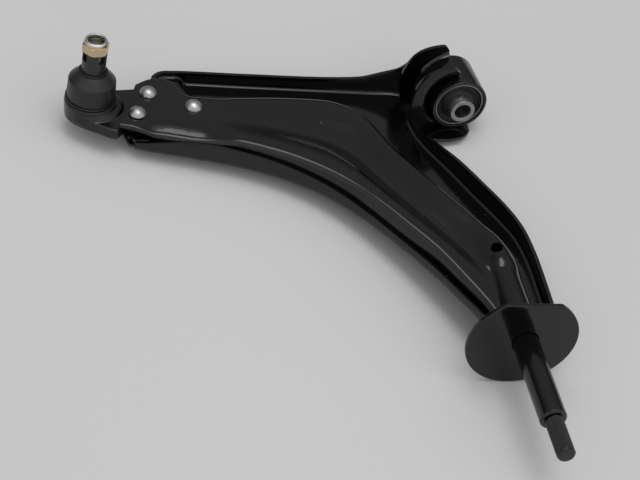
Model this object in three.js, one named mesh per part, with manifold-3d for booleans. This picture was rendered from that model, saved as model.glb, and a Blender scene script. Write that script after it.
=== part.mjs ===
// Front suspension control arm: a pressed two-shell arm with a riveted ball joint,
// a rubber bush in a welded tube and a threaded pivot pin with a thrust washer.
// Millimetres, +Z up. While the parts are drawn, the pivot pin's axis is the Y axis and the
// washer's middle is the origin; the bush lies towards +Y and the ball joint towards -X.
// At the end the whole arm is moved so that its bounding box is centred on the origin.
import * as THREE from 'three';
import { mergeVertices } from 'three/addons/utils/BufferGeometryUtils.js';
import Module from 'manifold-3d';

const wasm = await Module();
wasm.setup();

// ---- driving dimensions -------------------------------------------------------------------
const SHEET = 3;                 // thickness of both pressed shells
const GAP = 0.3;                 // clearance between neighbouring solids
const SEGMENTS = 28;             // facets round a turned part

const PIN_RADIUS = 10;
const PIN_SHOULDER_Y = -77;      // end of the plain shank
const PIN_TIP_Y = -109;          // end of the thread
const PIN_INNER_Y = 76;          // end that is welded between the shells
const THREAD_RADIUS = 6.8;

const WASHER_RADIUS = 43;
const WASHER_HALF = 1.75;
const WASHER_SHIFT_X = -2.5;     // the washer's hole is a little off its middle
const WASHER_FLAT_Z = 37.5;      // the flat on its upper edge

const FLOOR_TOP = -10.5;
const FLOOR_BOTTOM = FLOOR_TOP - SHEET;
const RAISED_TOP = -3.8;         // floor under the ball joint's plate
const PLATE_BOTTOM = RAISED_TOP + GAP;
const PLATE_TOP = 6;
const SHELL_OVER_PLATE = PLATE_TOP + GAP + SHEET;

const BUSH = { x: 10.6, y: 265, z: 13.5, turn: THREE.MathUtils.degToRad(4.6) };
const TUBE_RADIUS = 24.3;
const TUBE_WALL = 2.6;
const TUBE_LENGTH = 40;
const SLEEVE_RADIUS = TUBE_RADIUS - TUBE_WALL - GAP;
const SLEEVE_WALL = 1.4;
const CORE_RADIUS = 10.8;
const CORE_BORE = 7.1;
const CORE_PROUD = 8.5;          // how far the inner sleeve stands out of the tube
const NEAR_EAR = { radius: 41.8, top: 34.5 };
const FAR_EAR = { radius: 43.5, top: 37 };
const EAR_NEAR_Y = 7.5;          // ears' places along the tube
const EAR_FAR_Y = 36.5;

const JOINT = { x: -304.8, y: 253.9 };
const BALL_Z = 13.5;
const BALL_RADIUS = 12;
const HOUSING_RADIUS = 20;
const HOUSING_TOP = 28;
const NECK_RADIUS = 6.5;
const SLEEVE_BOTTOM = 38.2;
const NUT_BOTTOM = 59;
const NUT_FLATS = 18;
const NUT_HEX = 7.4;
const NUT_COLLAR = 3.4;
const STUD_THREAD = 6;

const RIVET_SHANK = 4;
const RIVET_HEAD = 6.9;
const RIVET_DOME = 4.6;
const RIVETS = [[-257, 267.5], [-268, 240], [-221, 252]];

// ---- solids ---------------------------------------------------------------------------------
function toSolid(geometry) {
  const plain = geometry.clone();
  plain.deleteAttribute('normal');
  plain.deleteAttribute('uv');
  const merged = mergeVertices(plain, 1e-4);
  const mesh = new wasm.Mesh({
    numProp: 3,
    vertProperties: new Float32Array(merged.attributes.position.array),
    triVerts: new Uint32Array(merged.index.array),
  });
  return new wasm.Manifold(mesh);
}

function toGeometry(solid) {
  const mesh = solid.getMesh();
  const geometry = new THREE.BufferGeometry();
  geometry.setAttribute('position', new THREE.BufferAttribute(new Float32Array(mesh.vertProperties), 3));
  geometry.setIndex(new THREE.BufferAttribute(new Uint32Array(mesh.triVerts), 1));
  const flat = geometry.toNonIndexed();
  flat.computeVertexNormals();
  return flat;
}

function join(geometries) {
  return toGeometry(geometries.map(toSolid).reduce((sum, next) => sum.add(next)));
}

function cut(geometry, tools) {
  return toGeometry(tools.map(toSolid).reduce((rest, tool) => rest.subtract(tool), toSolid(geometry)));
}

// A turned part: the profile's points are [radius, height] along +Z.
function turned(profile, segments = SEGMENTS) {
  const points = profile.map(([radius, height]) => new THREE.Vector2(radius, height));
  return new THREE.LatheGeometry(points, segments).rotateX(Math.PI / 2);
}

function ring(inner, outer, from, to, segments = SEGMENTS) {
  return turned([[inner, from], [outer, from], [outer, to], [inner, to], [inner, from]], segments);
}

function disc(radius, from, to, segments = SEGMENTS) {
  return turned([[0, from], [radius, from], [radius, to], [0, to]], segments);
}

// Turned parts lie along +Y instead of +Z.
function alongY(geometry) {
  return geometry.rotateX(-Math.PI / 2);
}

function plate(shape, from, to) {
  const options = { depth: to - from, bevelEnabled: false, curveSegments: 24 };
  return new THREE.ExtrudeGeometry(shape, options).translate(0, 0, from);
}

function outline(points) {
  return new THREE.Shape(points.map(([x, y]) => new THREE.Vector2(x, y)));
}

// A closed solid between two grids of points, rows of equal length.
function shellBetween(outer, inner) {
  const rows = outer.length;
  const columns = outer[0].length;
  const positions = [...outer.flat(), ...inner.flat()].flat();
  const at = (side, row, column) => side * rows * columns + row * columns + column;
  const index = [];
  const quad = (a, b, c, d) => index.push(a, b, c, a, c, d);
  for (let row = 0; row < rows - 1; row += 1) {
    for (let column = 0; column < columns - 1; column += 1) {
      quad(at(0, row, column), at(0, row + 1, column), at(0, row + 1, column + 1), at(0, row, column + 1));
      quad(at(1, row, column), at(1, row, column + 1), at(1, row + 1, column + 1), at(1, row + 1, column));
    }
    quad(at(0, row, 0), at(1, row, 0), at(1, row + 1, 0), at(0, row + 1, 0));
    const last = columns - 1;
    quad(at(0, row, last), at(0, row + 1, last), at(1, row + 1, last), at(1, row, last));
  }
  for (let column = 0; column < columns - 1; column += 1) {
    quad(at(0, 0, column), at(0, 0, column + 1), at(1, 0, column + 1), at(1, 0, column));
    const end = rows - 1;
    quad(at(0, end, column), at(1, end, column), at(1, end, column + 1), at(0, end, column + 1));
  }
  const geometry = new THREE.BufferGeometry();
  geometry.setAttribute('position', new THREE.Float32BufferAttribute(positions, 3));
  geometry.setIndex(index);
  return geometry;
}

// A smooth line through plan points, sampled evenly.
function smoothLine(points, samples) {
  const vectors = points.map((point) => new THREE.Vector3(...point, 0).setZ(point[2] ?? 0));
  const curve = new THREE.CatmullRomCurve3(vectors, false, 'centripetal');
  return curve.getSpacedPoints(samples);
}

// An upright wall along a plan line: the line is its outer face, and the third number of each
// point is the height of its rim. The inner face lies to the left of the line's direction.
function wall(points, samples, bottom = FLOOR_BOTTOM) {
  const line = smoothLine(points, samples);
  const outer = [];
  const inner = [];
  line.forEach((point, i) => {
    const before = line[Math.max(i - 1, 0)];
    const after = line[Math.min(i + 1, line.length - 1)];
    const along = after.clone().sub(before).setZ(0).normalize();
    const x = point.x - along.y * SHEET;
    const y = point.y + along.x * SHEET;
    outer.push([[point.x, point.y, bottom], [point.x, point.y, point.z]]);
    inner.push([[x, y, bottom], [x, y, point.z]]);
  });
  return shellBetween(outer, inner);
}

// ---- the lower shell ------------------------------------------------------------------------
// Outer faces of the three flanges: [x, y, rim height].
const NEAR_FLANGE = [
  [-270, 219, -4], [-250, 214.5, 0], [-218, 208, 5], [-186, 200, 6], [-155, 188, 6], [-124, 169.5, 6],
  [-96, 142.5, 6], [-70, 108, 6], [-52, 80, 5], [-34, 47, 3], [-24, 27, 1], [-19, 14, 0], [-18, 5, 0],
];
const RIGHT_FLANGE = [
  [20, 5, -2], [33, 22, -1], [35, 50, 0], [35.5, 100, 1], [32, 124, 3], [24, 145, 5], [10, 175, 5.5],
  [-2, 202, 5.5], [-14, 225, 5.5], [-24, 241, 6], [-28.5, 252, 6], [-30, 262, 7], [-29.5, 270, 10],
];
const FAR_FLANGE = [
  [-25, 305.5, 33], [-30, 309, 24.5], [-36, 311, 17], [-43, 312, 13.2], [-51, 312, 10.5], [-59, 312, 7.5],
  [-68, 312, 5], [-100, 312, 2.5], [-170, 312, 1.5],
  [-230, 312, 1], [-243, 310, 1], [-250, 303, 1], [-252, 294, 1],
];

// Where the floor steps up to the ball joint's plate.
const STEP_LINE = [[-216, 208], [-210, 222], [-208, 240], [-210, 262], [-215, 285], [-221, 300], [-223, 311]];

function bushFrame(geometry) {
  return geometry.rotateZ(BUSH.turn).translate(BUSH.x, BUSH.y, BUSH.z);
}

// An ear: a sector of a ring that stands across the tube.
function ear(from, size) {
  const steps = 16;
  const outer = [];
  const inner = [];
  for (let i = 0; i <= steps; i += 1) {
    const share = i / steps;
    const angle = THREE.MathUtils.degToRad(100 + 128 * share);
    const reach = THREE.MathUtils.lerp(size.top, size.radius, THREE.MathUtils.smoothstep(share, 0, 0.38));
    outer.push([Math.cos(angle) * reach, Math.sin(angle) * reach]);
    inner.push([Math.cos(angle) * TUBE_RADIUS, Math.sin(angle) * TUBE_RADIUS]);
  }
  const shape = outline([...outer, ...inner.reverse()]);
  const options = { depth: SHEET, bevelEnabled: false };
  const geometry = new THREE.ExtrudeGeometry(shape, options);
  return bushFrame(geometry.rotateX(Math.PI / 2).translate(0, from + SHEET, 0));
}

// The curved web between the ears, which hugs the tube.
function saddle() {
  const steps = 16;
  const outer = [];
  const inner = [];
  for (let i = 0; i <= steps; i += 1) {
    const angle = THREE.MathUtils.degToRad(100 + 165 * (i / steps));
    const outside = TUBE_RADIUS + GAP + SHEET;
    outer.push([Math.cos(angle) * outside, Math.sin(angle) * outside]);
    inner.push([Math.cos(angle) * TUBE_RADIUS, Math.sin(angle) * TUBE_RADIUS]);
  }
  const shape = outline([...outer, ...inner.reverse()]);
  const depth = EAR_FAR_Y + SHEET - EAR_NEAR_Y;
  const geometry = new THREE.ExtrudeGeometry(shape, { depth, bevelEnabled: false });
  return bushFrame(geometry.rotateX(Math.PI / 2).translate(0, EAR_FAR_Y + SHEET, 0));
}

function floorShape() {
  const near = smoothLine(NEAR_FLANGE, 30).map((p) => [p.x, p.y]).filter(([x]) => x > -216);
  const right = smoothLine(RIGHT_FLANGE, 34).map((p) => [p.x, p.y]);
  const tongue = [[-12, 247], [4, 248], [17, 253], [23, 258], [25, 266], [24, 304]];
  const step = [...STEP_LINE].reverse();
  return outline([...near, ...right.filter(([, y]) => y < 240), ...tongue, [-30, 311], ...step]);
}

function raisedShape() {
  return outline([
    ...STEP_LINE, [-243, 309], [-250, 302], [-252, 294], [-268, 280], [-276, 262], [-279, 240], [-271, 220],
    [-250, 215.5],
  ]);
}

function lowerShell() {
  const step = wall(STEP_LINE.map(([x, y]) => [x, y, RAISED_TOP]), 12);
  const pressed = join([
    plate(floorShape(), FLOOR_BOTTOM, FLOOR_TOP),
    plate(raisedShape(), RAISED_TOP - SHEET, RAISED_TOP),
    step,
    wall(NEAR_FLANGE, 30),
    wall(RIGHT_FLANGE, 34),
    wall(FAR_FLANGE, 26),
    ear(EAR_NEAR_Y, NEAR_EAR),
    ear(EAR_FAR_Y, FAR_EAR),
    saddle(),
  ]);
  const below = new THREE.BoxGeometry(900, 900, 60).translate(0, 200, FLOOR_BOTTOM - 30);
  const tubeRoom = bushFrame(alongY(disc(TUBE_RADIUS + GAP, -30, TUBE_LENGTH + 30, 44)));
  const rivetRoom = RIVETS.map(([x, y]) => disc(RIVET_SHANK + GAP, -30, 30, 16).translate(x, y, 0));
  return cut(pressed, [below, tubeRoom, ...rivetRoom]);
}

// ---- the upper shell ------------------------------------------------------------------------
// Stations from the ball joint to the washer. near and far are the plan points of the two top
// edges, nearTop and farTop their heights, valley the depth of the trough between them, and
// nearSkirt and farSkirt the heights of the skirts' lower edges.
const STATIONS = [
  { near: [-283, 225], far: [-266, 280], nearTop: 9.3, farTop: 9.3, valley: 0, nearSkirt: 6.3, farSkirt: 6.3 },
  { near: [-266, 221.6], far: [-252, 289], nearTop: 9.3, farTop: 9.3, valley: 0, nearSkirt: 4.6, farSkirt: 6.3 },
  { near: [-249, 218], far: [-237, 288], nearTop: 9.3, farTop: 9.3, valley: 0, nearSkirt: 0, farSkirt: 4 },
  { near: [-233, 214.6], far: [-227, 274], nearTop: 9.4, farTop: 9.4, valley: 0, nearSkirt: -1, farSkirt: -3 },
  { near: [-209, 209.9], far: [-211, 269.8], nearTop: 9.5, farTop: 9.5, valley: 0, nearSkirt: -3, farSkirt: -2.6 },
  { near: [-186, 203.8], far: [-180, 270.5], nearTop: 12.5, farTop: 12.5, valley: 1.5, nearSkirt: -3, farSkirt: -9.6 },
  { near: [-154, 191.5], far: [-136, 272], nearTop: 13, farTop: 13.4, valley: 4, nearSkirt: -3, farSkirt: -9.6 },
  { near: [-127, 176], far: [-98, 269], nearTop: 13, farTop: 13.4, valley: 5.5, nearSkirt: -3, farSkirt: -9.6 },
  { near: [-106, 158.5], far: [-75, 249], nearTop: 13, farTop: 13.4, valley: 5.5, nearSkirt: -3, farSkirt: -9.6 },
  { near: [-87, 136.6], far: [-60, 213], nearTop: 13, farTop: 13.4, valley: 5.5, nearSkirt: -3, farSkirt: -9.6 },
  { near: [-68, 111], far: [-35, 170], nearTop: 12, farTop: 13.4, valley: 5, nearSkirt: -3, farSkirt: -9.6 },
  { near: [-50, 86], far: [-8, 125], nearTop: 10.5, farTop: 13.4, valley: 4, nearSkirt: -4, farSkirt: -9.6 },
  { near: [-35.2, 59.5], far: [12, 84], nearTop: 8, farTop: 13.4, valley: 3, nearSkirt: -5, farSkirt: -9.6 },
  { near: [-22, 35], far: [13.6, 50], nearTop: 5, farTop: 10, valley: 0, nearSkirt: -6, farSkirt: -9.6 },
  { near: [-14.8, 15], far: [13.6, 22], nearTop: 3, farTop: 9, valley: 0, nearSkirt: -7, farSkirt: -9.6 },
  { near: [-14.2, 3.5], far: [13.6, 4], nearTop: 2, farTop: 9, valley: 0, nearSkirt: -7, farSkirt: -9.6 },
];
const CORNER = 5;                // bend radius of the top edges

function stationAt(share) {
  const last = STATIONS.length - 1;
  const place = share * last;
  const index = Math.min(Math.floor(place), last - 1);
  const rest = place - index;
  const pick = (key, i) => [STATIONS[Math.min(Math.max(i, 0), last)][key]].flat();
  const blend = (key) => {
    const [a, b, c, d] = [-1, 0, 1, 2].map((offset) => pick(key, index + offset));
    return b.map((value, k) => {
      const slope0 = (c[k] - a[k]) / 2;
      const slope1 = (d[k] - value) / 2;
      const t2 = rest * rest;
      const t3 = t2 * rest;
      return (2 * t3 - 3 * t2 + 1) * value + (t3 - 2 * t2 + rest) * slope0
        + (3 * t2 - 2 * t3) * c[k] + (t3 - t2) * slope1;
    });
  };
  return {
    near: blend('near'),
    far: blend('far'),
    nearTop: blend('nearTop')[0],
    farTop: blend('farTop')[0],
    valley: blend('valley')[0],
    nearSkirt: blend('nearSkirt')[0],
    farSkirt: blend('farSkirt')[0],
  };
}

// One section of the shell: points [distance from the near edge, height], near skirt first.
function section(station, width) {
  const points = [];
  const nearBend = Math.min(CORNER, (station.nearTop - station.nearSkirt) * 0.6);
  const farBend = Math.min(CORNER, (station.farTop - station.farSkirt) * 0.6);
  points.push([0, station.nearSkirt]);
  for (let i = 0; i <= 3; i += 1) {
    const angle = (Math.PI / 2) * (i / 3);
    points.push([nearBend * (1 - Math.cos(angle)), station.nearTop - nearBend * (1 - Math.sin(angle))]);
  }
  const steps = 7;
  for (let i = 1; i < steps; i += 1) {
    const share = i / steps;
    const across = nearBend + (width - nearBend - farBend) * share;
    const dip = station.valley * Math.sin(Math.PI * share) ** 2;
    points.push([across, THREE.MathUtils.lerp(station.nearTop, station.farTop, share) - dip]);
  }
  for (let i = 3; i >= 0; i -= 1) {
    const angle = (Math.PI / 2) * (i / 3);
    points.push([width - farBend * (1 - Math.cos(angle)), station.farTop - farBend * (1 - Math.sin(angle))]);
  }
  points.push([width, station.farSkirt]);
  return points;
}

function inward(points) {
  return points.map(([across, height], i) => {
    const before = points[Math.max(i - 1, 0)];
    const after = points[Math.min(i + 1, points.length - 1)];
    const run = after[0] - before[0];
    const rise = after[1] - before[1];
    const length = Math.hypot(run, rise);
    return [across + (rise / length) * SHEET, height - (run / length) * SHEET];
  });
}

function upperShell() {
  const rows = 40;
  const outer = [];
  const inner = [];
  for (let row = 0; row <= rows; row += 1) {
    const station = stationAt(row / rows);
    const [nearX, nearY] = station.near;
    const [farX, farY] = station.far;
    const width = Math.hypot(farX - nearX, farY - nearY);
    const place = ([across, height]) => [
      nearX + (farX - nearX) * (across / width),
      nearY + (farY - nearY) * (across / width),
      height,
    ];
    const points = section(station, width);
    outer.push(points.map(place));
    inner.push(inward(points).map(place));
  }
  const pressed = shellBetween(outer, inner);
  const tunnel = alongY(disc(PIN_RADIUS + GAP + SHEET, 3.5, PIN_INNER_Y + 5, 28));
  const above = new THREE.BoxGeometry(80, 200, 60).translate(0, 60, -30 + 0.5);
  const ridge = cut(tunnel, [above]);
  const corner = new THREE.BoxGeometry(4.5, 28, 3.8).translate(9.8, 68, 8.4);
  const joined = join([pressed, ridge, corner]);
  const pinRoom = alongY(disc(PIN_RADIUS + GAP, -10, PIN_INNER_Y + 2, 28));
  const hole = disc(4.6, 0, 30, 20).translate(-4, 88, 0);
  const rivetRoom = RIVETS.map(([x, y]) => disc(RIVET_SHANK + GAP, -30, 30, 16).translate(x, y, 0));
  return cut(joined, [pinRoom, hole, ...rivetRoom]);
}

// ---- the ball joint -------------------------------------------------------------------------
function housingShape() {
  return outline([
    [-324.8, 253.9], [-323.5, 246], [-319, 239.5], [-312, 234], [-300, 227.5], [-285, 221], [-281, 225.5],
    [-275, 229.5], [-262, 230.5], [-240, 234], [-218, 238], [-210, 246], [-210, 258], [-218, 266], [-238, 272],
    [-252, 282], [-262, 279], [-281, 275.5], [-300, 273.3], [-311, 272.8], [-318.5, 268.4], [-323.5, 261.5],
  ]);
}

function ballJointHousing() {
  const socket = turned([
    [0, PLATE_BOTTOM], [HOUSING_RADIUS, PLATE_BOTTOM], [HOUSING_RADIUS + 1, 11], [HOUSING_RADIUS, 13],
    [HOUSING_RADIUS, 24], [HOUSING_RADIUS - 1.6, 24.6], [HOUSING_RADIUS - 1.6, 26.6],
    [HOUSING_RADIUS - 2.2, HOUSING_TOP], [0, HOUSING_TOP],
  ], 36).translate(JOINT.x, JOINT.y, 0);
  const room = turned([
    [0, PLATE_BOTTOM - 5], [16, PLATE_BOTTOM - 5], [16, 19], [11.2, 23], [14.5, HOUSING_TOP + 4],
    [0, HOUSING_TOP + 4],
  ], 36).translate(JOINT.x, JOINT.y, 0);
  const boss = turned([[0, 4], [25, 4], [24, PLATE_TOP + 2], [0, PLATE_TOP + 2]], 30)
    .translate(JOINT.x + 4, JOINT.y, 0);
  const limit = new THREE.BoxGeometry(60, 60, 40).translate(JOINT.x - 32, JOINT.y, 0);
  const forged = join([plate(housingShape(), PLATE_BOTTOM, PLATE_TOP), cut(boss, [limit]), socket]);
  const rivetRoom = RIVETS.map(([x, y]) => disc(RIVET_SHANK + GAP, -30, 30, 16).translate(x, y, 0));
  return cut(forged, [room, ...rivetRoom]);
}

function arcProfile(radius, fromHeight, toHeight, steps) {
  const points = [];
  for (let i = 0; i <= steps; i += 1) {
    const height = fromHeight + (toHeight - fromHeight) * (i / steps);
    points.push([Math.sqrt(Math.max(radius * radius - height * height, 0)), BALL_Z + height]);
  }
  return points;
}

function ballSeat() {
  const bowl = arcProfile(BALL_RADIUS + GAP, -11, 7.2, 7);
  return turned([
    ...bowl.reverse(), [8, 0.6], [15.7, 0.6], [15.7, 18.4], [11.6, 21.9], bowl[0],
  ], 28).translate(JOINT.x, JOINT.y, 0);
}

function ballStud() {
  const neckHeight = Math.sqrt(BALL_RADIUS ** 2 - NECK_RADIUS ** 2);
  const ball = arcProfile(BALL_RADIUS, -BALL_RADIUS, neckHeight, 10);
  return turned([
    ...ball, [NECK_RADIUS, 31], [7.8, 34.5], [7.8, SLEEVE_BOTTOM], [6.6, NUT_BOTTOM - 2],
    [STUD_THREAD, NUT_BOTTOM - 1], [STUD_THREAD, 66.6], [STUD_THREAD - 1, 67.6], [0, 67.6],
  ], 28).translate(JOINT.x, JOINT.y, 0);
}

function dustBoot() {
  const inner = [[8.2, 38], [8.2, 34.4], [10, 33.6], [14, 32.6], [17.2, 30], [18.1, 28.2]];
  return turned([
    [18.7, 28.2], [18.7, 25], [20.3, 25], [20.5, 27.2], [20, 29.5], [18.6, 32.6], [15.8, 35.2], [12, 36.4],
    [10.9, 37.2], [10.7, 38], ...inner, [18.7, 28.2],
  ], 30).translate(JOINT.x, JOINT.y, 0);
}

function studSleeve() {
  const tube = ring(8.1, 9.6, SLEEVE_BOTTOM, NUT_BOTTOM - GAP, 32);
  const notch = new THREE.BoxGeometry(40, 4.2, 6).translate(0, 0, NUT_BOTTOM);
  const turns = [20, 110].map((angle) => notch.clone().rotateZ(THREE.MathUtils.degToRad(angle)));
  return cut(tube, turns).translate(JOINT.x, JOINT.y, 0);
}

function lockNut() {
  const corner = NUT_FLATS / Math.sqrt(3);
  const hexagon = new THREE.CylinderGeometry(corner, corner, NUT_HEX, 6).rotateX(Math.PI / 2)
    .rotateZ(THREE.MathUtils.degToRad(12)).translate(0, 0, NUT_BOTTOM + NUT_HEX / 2);
  const top = NUT_BOTTOM + NUT_HEX + NUT_COLLAR;
  const collar = turned([[0, NUT_BOTTOM + 2], [8.9, NUT_BOTTOM + 2], [8.9, top - 1], [8.2, top], [0, top]], 28);
  const bore = disc(STUD_THREAD + GAP, NUT_BOTTOM - 5, top + 5, 24);
  const pocket = disc(7.4, NUT_BOTTOM + NUT_HEX, top - 0.8, 24);
  const mouth = disc(6.6, top - 2, top + 2, 24);
  return cut(join([hexagon, collar]), [bore, pocket, mouth]).translate(JOINT.x, JOINT.y, 0);
}

function nutInsert() {
  const from = NUT_BOTTOM + NUT_HEX + GAP;
  return ring(STUD_THREAD + GAP, 7.1, from, from + 2, 24).translate(JOINT.x, JOINT.y, 0);
}

function rivet(x, y) {
  const top = SHELL_OVER_PLATE + GAP;
  const bottom = RAISED_TOP - SHEET - GAP;
  const dome = [];
  for (let i = 0; i <= 4; i += 1) {
    const angle = (Math.PI / 2) * (i / 4);
    dome.push([RIVET_HEAD * Math.cos(angle), top + RIVET_DOME * Math.sin(angle)]);
  }
  dome[dome.length - 1][0] = 0;
  return turned([
    [0, bottom - 3.4], [5.4, bottom - 3], [6.4, bottom - 1.4], [6.4, bottom], [RIVET_SHANK, bottom],
    [RIVET_SHANK, top], ...dome,
  ], 18).translate(x, y, 0);
}

// ---- the bush -------------------------------------------------------------------------------
function bushPart(geometry) {
  return bushFrame(alongY(geometry));
}

function bushRubber() {
  const outside = SLEEVE_RADIUS - SLEEVE_WALL - GAP;
  const inside = CORE_RADIUS + GAP;
  return turned([
    [outside, 2.4], [outside - 2, 4.6], [inside + 4.5, 5.4], [inside + 1.6, 2.5], [inside, 0],
    [inside, TUBE_LENGTH], [inside + 1.6, TUBE_LENGTH - 2.5], [inside + 4.5, TUBE_LENGTH - 5.4],
    [outside - 2, TUBE_LENGTH - 4.6], [outside, TUBE_LENGTH - 2.4], [outside, 2.4],
  ].reverse(), 32);
}

// ---- the pivot pin --------------------------------------------------------------------------
function pivotPin() {
  return alongY(turned([
    [0, PIN_TIP_Y], [4.4, PIN_TIP_Y], [THREAD_RADIUS, PIN_TIP_Y + 3], [THREAD_RADIUS, PIN_SHOULDER_Y],
    [PIN_RADIUS - 1.2, PIN_SHOULDER_Y], [PIN_RADIUS, PIN_SHOULDER_Y + 1.4], [PIN_RADIUS, PIN_INNER_Y],
    [0, PIN_INNER_Y],
  ], 32));
}

function thrustWasher() {
  const flat = new THREE.BoxGeometry(120, 20, 20).translate(0, 0, WASHER_FLAT_Z + 10);
  const blank = alongY(disc(WASHER_RADIUS, -WASHER_HALF, WASHER_HALF, 56)).translate(WASHER_SHIFT_X, 0, 0);
  return cut(blank, [flat, alongY(disc(PIN_RADIUS + GAP, -9, 9, 32))]);
}

// ---- the assembly ---------------------------------------------------------------------------
const PAINT = { color: 0x101112, roughness: 0.28, metalness: 0.3 };
const STEEL = { color: 0x8c8d8c, roughness: 0.35, metalness: 1 };
const BRIGHT = { color: 0xc9cacb, roughness: 0.25, metalness: 1 };
const RUBBER = { color: 0x202224, roughness: 0.7, metalness: 0 };
const NYLON = { color: 0x7f96a8, roughness: 0.5, metalness: 0 };
const ZINC = { color: 0xc8b27a, roughness: 0.3, metalness: 1 };

const arm = new THREE.Group();

function add(name, geometry, look) {
  const mesh = new THREE.Mesh(geometry, new THREE.MeshStandardMaterial(look));
  mesh.name = name;
  arm.add(mesh);
}

add('lower_shell', lowerShell(), PAINT);
add('upper_shell', upperShell(), PAINT);
add('ball_joint_housing', ballJointHousing(), PAINT);
add('housing_end_cap', disc(15.7, PLATE_BOTTOM, 0.3).translate(JOINT.x, JOINT.y, 0), STEEL);
add('ball_seat', ballSeat(), NYLON);
add('ball_stud', ballStud(), STEEL);
add('dust_boot', dustBoot(), RUBBER);
add('boot_lower_ring', ring(20.6, 21.6, 25.2, 26.8, 30).translate(JOINT.x, JOINT.y, 0), STEEL);
add('boot_upper_ring', ring(11.2, 12.2, 37, 38, 28).translate(JOINT.x, JOINT.y, 0), STEEL);
add('stud_sleeve', studSleeve(), RUBBER);
add('lock_nut', lockNut(), ZINC);
add('nut_insert', nutInsert(), NYLON);
RIVETS.forEach(([x, y], i) => add(`rivet_${i + 1}`, rivet(x, y), BRIGHT));
add('bush_tube', bushPart(ring(TUBE_RADIUS - TUBE_WALL, TUBE_RADIUS, 0, TUBE_LENGTH, 44)), PAINT);
add('bush_outer_sleeve', bushPart(
  ring(SLEEVE_RADIUS - SLEEVE_WALL, SLEEVE_RADIUS, 1, TUBE_LENGTH - 1, 36)), STEEL);
add('bush_rubber', bushPart(bushRubber()), RUBBER);
add('bush_inner_sleeve', bushPart(
  ring(CORE_BORE, CORE_RADIUS, -CORE_PROUD, TUBE_LENGTH + CORE_PROUD, 32)), STEEL);
add('pivot_pin', pivotPin(), PAINT);
add('thrust_washer', thrustWasher(), STEEL);

const box = new THREE.Box3().setFromObject(arm);
const middle = box.getCenter(new THREE.Vector3());
arm.position.copy(middle).negate();

const part = new THREE.Group();
part.add(arm);

export default part;
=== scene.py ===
"""Looks for a pressed suspension control arm: glossy black shells, ball joint, bush and pivot pin.

Sizes are drawn in millimetres in the arm's drawing frame: the pivot pin's axis is Y, the thrust
washer's middle is the origin, the bush lies towards +Y and the ball joint towards -X. The function
at() turns such a point into the frame's metres.
"""

import math

import bmesh
import bpy
from mathutils import Matrix, Vector
from mathutils.geometry import delaunay_2d_cdt


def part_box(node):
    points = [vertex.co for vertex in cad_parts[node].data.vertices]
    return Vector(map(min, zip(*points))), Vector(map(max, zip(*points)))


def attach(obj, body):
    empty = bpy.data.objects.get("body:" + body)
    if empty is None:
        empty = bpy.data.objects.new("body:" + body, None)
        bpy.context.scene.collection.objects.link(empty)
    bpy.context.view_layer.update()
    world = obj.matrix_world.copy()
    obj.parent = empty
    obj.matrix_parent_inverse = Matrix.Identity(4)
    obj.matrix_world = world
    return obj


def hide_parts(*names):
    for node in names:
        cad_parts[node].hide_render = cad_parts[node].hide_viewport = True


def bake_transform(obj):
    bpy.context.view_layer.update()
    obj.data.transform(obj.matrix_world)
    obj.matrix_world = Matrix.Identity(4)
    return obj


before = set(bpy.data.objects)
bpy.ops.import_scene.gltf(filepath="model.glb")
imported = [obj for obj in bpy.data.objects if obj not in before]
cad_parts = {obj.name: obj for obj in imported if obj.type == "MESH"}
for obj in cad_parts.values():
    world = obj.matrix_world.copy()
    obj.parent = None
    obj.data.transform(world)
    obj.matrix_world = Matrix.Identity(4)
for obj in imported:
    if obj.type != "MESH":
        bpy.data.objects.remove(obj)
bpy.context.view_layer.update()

# ---- the drawing frame ----
pin_low, pin_high = (Vector(corner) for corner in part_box("pivot_pin"))
washer_low, washer_high = (Vector(corner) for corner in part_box("thrust_washer"))
ORIGIN = (pin_low + pin_high) / 2
ORIGIN.y = (washer_low.y + washer_high.y) / 2

SHEET = 3.0             # thickness of the pressed shells
FLOOR_BOTTOM = -13.5    # underside of the lower shell
RAISED_BOTTOM = -6.8    # underside of its end below the ball joint's plate
PIN_RADIUS = 10.0
PIN_TIP, PIN_SHOULDER, PIN_INNER = -109.0, -77.0, 76.0
THREAD_RADIUS, THREAD_PITCH, THREAD_DEPTH = 6.8, 2.0, 1.1
JOINT_X, JOINT_Y = -304.8, 253.9
BUSH = Vector((10.6, 265.0, 13.5))
BUSH_TURN = math.radians(4.6)
TUBE_RADIUS, TUBE_WALL, TUBE_LENGTH = 24.3, 2.6, 40.0
RIVETS = ((-257.0, 267.5), (-268.0, 240.0), (-221.0, 252.0))
PLATE_LEVEL = 9.3       # top of the upper shell over the ball joint's plate
HOLE_X, HOLE_Y, HOLE_RADIUS = -4.0, 84.0, 4.6


def at(x, y, z=0.0):
    return ORIGIN + Vector((x, y, z)) / 1000


def on_joint(x, y, z):
    return at(JOINT_X + x, JOINT_Y + y, z)


def on_pin(x, y, z):
    return at(x, z, -y)


def on_bush(x, y, z):
    cos, sin = math.cos(BUSH_TURN), math.sin(BUSH_TURN)
    return at(BUSH.x + x * cos - z * sin, BUSH.y + x * sin + z * cos, BUSH.z - y)


# ---- the camera ----
CAMERA_PLACE = (-418.4, -715.9, 749.7)
CAMERA_YAW, CAMERA_PITCH, CAMERA_ROLL = (math.radians(angle) for angle in (18.87, 40.84, 13.91))
LENS = 84.43


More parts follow.
